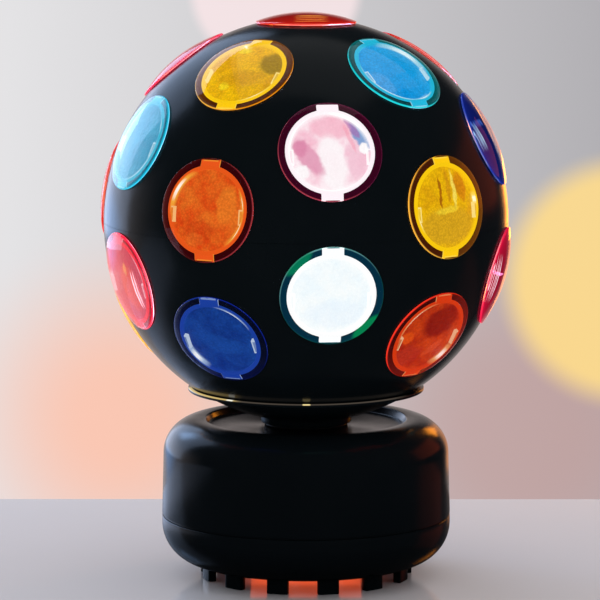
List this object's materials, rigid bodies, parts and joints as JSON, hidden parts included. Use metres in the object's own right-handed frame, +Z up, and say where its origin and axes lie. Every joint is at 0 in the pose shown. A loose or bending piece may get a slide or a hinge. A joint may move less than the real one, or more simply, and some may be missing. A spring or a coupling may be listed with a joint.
{
  "type": "disco ball lamp",
  "caption": "Black ball with clear coloured lenses that turns on a round motor base about a fixed bulb and lifts off its dish for a bulb change; rocker switch at the back.",
  "frame": {"origin": "centre of the base on the surface that it stands on", "axes": "+Z up along the turning axis, -Y towards the front, +X to the right"},
  "size_m": [0.2024, 0.203, 0.2807],
  "materials": {
    "black_gloss": "moulded ABS, satin gloss",
    "black_satin": "moulded ABS, fine satin",
    "black_rubber": "moulded rubber",
    "grey_plastic": "moulded, matt",
    "nylon": "natural nylon",
    "steel": "zinc plated",
    "brass": "nickel-free brass",
    "white_plastic": "heat-resistant moulding",
    "lead_sheath": "PVC sheath",
    "bulb_glass": "clear blown glass",
    "lens_red": "tinted clear polystyrene, lit from inside",
    "lens_vermilion": "tinted clear polystyrene, lit from inside",
    "lens_rose": "tinted clear polystyrene, lit from inside",
    "lens_crimson": "tinted clear polystyrene, lit from inside",
    "lens_pink": "tinted clear polystyrene, lit from inside",
    "lens_orange": "tinted clear polystyrene, lit from inside",
    "lens_yellow": "tinted clear polystyrene, lit from inside",
    "lens_mint": "tinted clear polystyrene, lit from inside",
    "lens_cyan": "tinted clear polystyrene, lit from inside",
    "lens_sky": "tinted clear polystyrene, lit from inside",
    "lens_blue": "tinted clear polystyrene, lit from inside"
  },
  "bodies": {
    "base": {"base_upper_housing": "black_satin", "base_lower_housing": "black_satin", "cord_grommet": "black_rubber", "chassis_deck": "grey_plastic", "hub_bush": "nylon", "drive_motor": "steel", "motor_screw_1": "steel", "motor_screw_2": "steel", "deck_screw_1": "steel", "deck_screw_2": "steel", "deck_screw_3": "steel", "case_screw_1": "steel", "case_screw_2": "steel", "case_screw_3": "steel", "lamp_post": "brass", "post_nut_upper": "brass", "post_nut_lower": "brass", "bulb_cap": "brass", "lampholder": "white_plastic", "terminal_block": "white_plastic", "lamp_lead": "lead_sheath", "motor_lead": "lead_sheath", "switch_lead": "lead_sheath", "bulb_globe": "bulb_glass", "switch_case": "black_satin"},
    "turntable": {"turntable_dish": "black_gloss", "drive_gear": "nylon", "gear_retainer": "steel"},
    "ball": {"ball_upper_shell": "black_gloss", "ball_lower_shell": "black_gloss", "lens_pole": "lens_red", "lens_crown_1": "lens_sky", "lens_crown_2": "lens_red", "lens_crown_3": "lens_mint", "lens_crown_4": "lens_crimson", "lens_crown_5": "lens_yellow", "lens_upper_1": "lens_pink", "lens_upper_2": "lens_blue", "lens_upper_3": "lens_orange", "lens_upper_4": "lens_crimson", "lens_upper_5": "lens_cyan", "lens_middle_1": "lens_yellow", "lens_middle_2": "lens_cyan", "lens_middle_3": "lens_blue", "lens_middle_4": "lens_vermilion", "lens_middle_5": "lens_orange", "lens_lower_1": "lens_mint", "lens_lower_2": "lens_crimson", "lens_lower_3": "lens_yellow", "lens_lower_4": "lens_sky", "lens_lower_5": "lens_rose", "lens_bottom_1": "lens_vermilion", "lens_bottom_2": "lens_mint", "lens_bottom_3": "lens_pink", "lens_bottom_4": "lens_yellow", "lens_bottom_5": "lens_blue"},
    "pinion": {"drive_pinion": "nylon", "motor_shaft": "steel"},
    "rocker": {"rocker_paddle": "black_satin"}
  },
  "joints": [
    {"name": "turntable_spin", "type": "hinge", "parent": "base", "child": "turntable", "pos_m": [0, 0, 0.0774], "axis": [0, 0, 1], "continuous": true},
    {"name": "ball_lift", "type": "slide", "parent": "turntable", "child": "ball", "axis": [0, 0, 1], "range_m": [0, 0.11]},
    {"name": "pinion_spin", "type": "hinge", "parent": "base", "child": "pinion", "pos_m": [0.04, 0, 0.0676], "axis": [0, 0, 1], "continuous": true},
    {"name": "rocker_tip", "type": "hinge", "parent": "base", "child": "rocker", "pos_m": [-0.04209, 0.05387, 0.044], "axis": [0.788, 0.6157, 0], "range_deg": [-16, 0]}
  ],
  "couplings": [
    {"joint": "pinion_spin", "follows": "turntable_spin", "ratio": -3}
  ]
}
